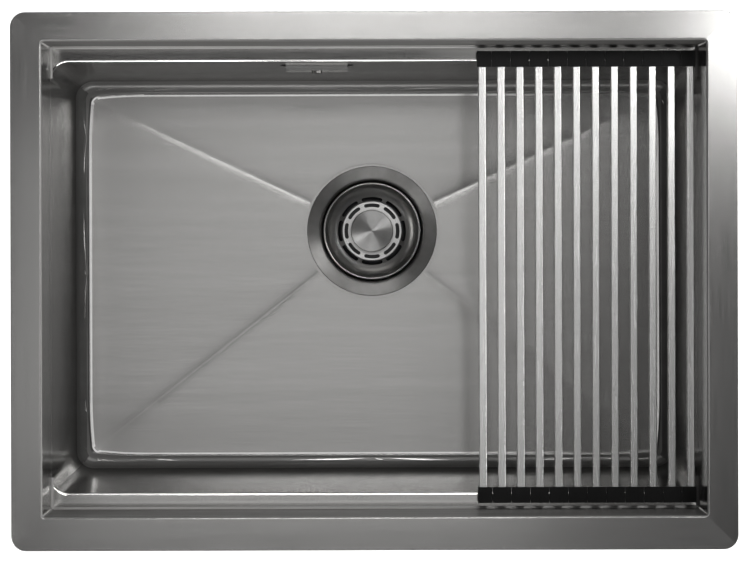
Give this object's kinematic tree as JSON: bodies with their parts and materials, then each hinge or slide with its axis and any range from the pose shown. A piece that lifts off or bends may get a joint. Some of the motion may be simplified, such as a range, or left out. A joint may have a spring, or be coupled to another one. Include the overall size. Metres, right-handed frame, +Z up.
{
  "type": "kitchen sink",
  "caption": "Undermount kitchen sink with front and back ledges, a creased floor, a basket waste, a wall overflow and a sliding roll-up drying rack.",
  "frame": {"origin": "centre of the bowl's opening, on the plane of the rim's top face, which goes against the underside of a worktop", "axes": "+X along the long side, towards the drying rack, +Y towards the back wall with the overflow, +Z up, out of the bowl"},
  "size_m": [0.58, 0.43, 0.4207],
  "materials": {
    "bowl_steel": "dark brushed, satin",
    "waste_steel": "polished, slightly brushed",
    "cap_steel": "turned",
    "rack_steel": "satin",
    "brass": "machined",
    "grey_plastic": "moulded",
    "black_plastic": "moulded",
    "black_rubber": "matte",
    "pad_rubber": "matte",
    "silicone": "matte"
  },
  "bodies": {
    "sink": {"sink_bowl": "bowl_steel", "rim_back": "bowl_steel", "rim_front": "bowl_steel", "rim_left": "bowl_steel", "rim_right": "bowl_steel", "floor_pad_left": "pad_rubber", "floor_pad_right": "pad_rubber", "side_pad_left": "pad_rubber", "side_pad_right": "pad_rubber", "front_pad": "pad_rubber", "back_pad": "pad_rubber", "waste_cup": "waste_steel", "flange_seal": "black_rubber", "body_gasket": "black_rubber", "waste_body": "grey_plastic", "clamp_nut": "brass", "clamp_screw": "waste_steel", "outlet_tube": "grey_plastic", "outlet_washer": "black_rubber", "outlet_nut": "black_plastic", "overflow_cover": "waste_steel", "overflow_seal": "black_rubber", "overflow_box": "grey_plastic", "overflow_screw": "waste_steel", "overflow_hose": "grey_plastic", "hose_washer_top": "black_rubber", "hose_collar_top": "black_plastic", "hose_washer_bottom": "black_rubber", "hose_collar_bottom": "black_plastic"},
    "basket": {"basket_cup": "waste_steel", "basket_cap": "cap_steel", "basket_post": "waste_steel", "basket_stopper": "black_rubber", "basket_nut": "brass"},
    "rack_01": {"rack_bar_01": "rack_steel", "rack_shoes_01": "silicone"},
    "rack_02": {"rack_bar_02": "rack_steel", "rack_shoes_02": "silicone"},
    "rack_03": {"rack_bar_03": "rack_steel", "rack_shoes_03": "silicone"},
    "rack_04": {"rack_bar_04": "rack_steel", "rack_shoes_04": "silicone"},
    "rack_05": {"rack_bar_05": "rack_steel", "rack_shoes_05": "silicone"},
    "rack_06": {"rack_bar_06": "rack_steel", "rack_shoes_06": "silicone"},
    "rack_07": {"rack_bar_07": "rack_steel", "rack_shoes_07": "silicone"},
    "rack_08": {"rack_bar_08": "rack_steel", "rack_shoes_08": "silicone"},
    "rack_09": {"rack_bar_09": "rack_steel", "rack_shoes_09": "silicone"},
    "rack_10": {"rack_bar_10": "rack_steel", "rack_shoes_10": "silicone"},
    "rack_11": {"rack_bar_11": "rack_steel", "rack_shoes_11": "silicone"},
    "rack_12": {"rack_bar_12": "rack_steel", "rack_shoes_12": "silicone"}
  },
  "joints": [
    {"name": "basket_lift", "type": "slide", "parent": "sink", "child": "basket", "axis": [0, 0, 1], "range_m": [0, 0.26]},
    {"name": "rack_slide", "type": "slide", "parent": "sink", "child": "rack_01", "axis": [1, 0, 0], "range_m": [-0.321, 0]},
    {"name": "rack_roll_01", "type": "hinge", "parent": "rack_01", "child": "rack_02", "pos_m": [0.09607, 0.0001, -0.0487], "axis": [0, -1, 0], "range_deg": [0, 38]},
    {"name": "rack_roll_02", "type": "hinge", "parent": "rack_02", "child": "rack_03", "pos_m": [0.11152, 0.0001, -0.0487], "axis": [0, -1, 0], "range_deg": [0, 38.1]},
    {"name": "rack_roll_03", "type": "hinge", "parent": "rack_03", "child": "rack_04", "pos_m": [0.12698, 0.0001, -0.0487], "axis": [0, -1, 0], "range_deg": [0, 38.43]},
    {"name": "rack_roll_04", "type": "hinge", "parent": "rack_04", "child": "rack_05", "pos_m": [0.14242, 0.0001, -0.0487], "axis": [0, -1, 0], "range_deg": [0, 39.32]},
    {"name": "rack_roll_05", "type": "hinge", "parent": "rack_05", "child": "rack_06", "pos_m": [0.15787, 0.0001, -0.0487], "axis": [0, -1, 0], "range_deg": [0, 41.06]},
    {"name": "rack_roll_06", "type": "hinge", "parent": "rack_06", "child": "rack_07", "pos_m": [0.17333, 0.0001, -0.0487], "axis": [0, -1, 0], "range_deg": [0, 43.92]},
    {"name": "rack_roll_07", "type": "hinge", "parent": "rack_07", "child": "rack_08", "pos_m": [0.18877, 0.0001, -0.0487], "axis": [0, -1, 0], "range_deg": [0, 48.2]},
    {"name": "rack_roll_08", "type": "hinge", "parent": "rack_08", "child": "rack_09", "pos_m": [0.20422, 0.0001, -0.0487], "axis": [0, -1, 0], "range_deg": [0, 54.17]},
    {"name": "rack_roll_09", "type": "hinge", "parent": "rack_09", "child": "rack_10", "pos_m": [0.21968, 0.0001, -0.0487], "axis": [0, -1, 0], "range_deg": [0, 62.11]},
    {"name": "rack_roll_10", "type": "hinge", "parent": "rack_10", "child": "rack_11", "pos_m": [0.23513, 0.0001, -0.0487], "axis": [0, -1, 0], "range_deg": [0, 72.31]},
    {"name": "rack_roll_11", "type": "hinge", "parent": "rack_11", "child": "rack_12", "pos_m": [0.25057, 0.0001, -0.0487], "axis": [0, -1, 0], "range_deg": [0, 85.05]}
  ],
  "couplings": [
    {"joint": "rack_roll_02", "follows": "rack_roll_01", "ratio": 1.0012},
    {"joint": "rack_roll_03", "follows": "rack_roll_01", "ratio": 1.0099},
    {"joint": "rack_roll_04", "follows": "rack_roll_01", "ratio": 1.0334},
    {"joint": "rack_roll_05", "follows": "rack_roll_01", "ratio": 1.0792},
    {"joint": "rack_roll_06", "follows": "rack_roll_01", "ratio": 1.1546},
    {"joint": "rack_roll_07", "follows": "rack_roll_01", "ratio": 1.2672},
    {"joint": "rack_roll_08", "follows": "rack_roll_01", "ratio": 1.4242},
    {"joint": "rack_roll_09", "follows": "rack_roll_01", "ratio": 1.6333},
    {"joint": "rack_roll_10", "follows": "rack_roll_01", "ratio": 1.9017},
    {"joint": "rack_roll_11", "follows": "rack_roll_01", "ratio": 2.2368}
  ]
}
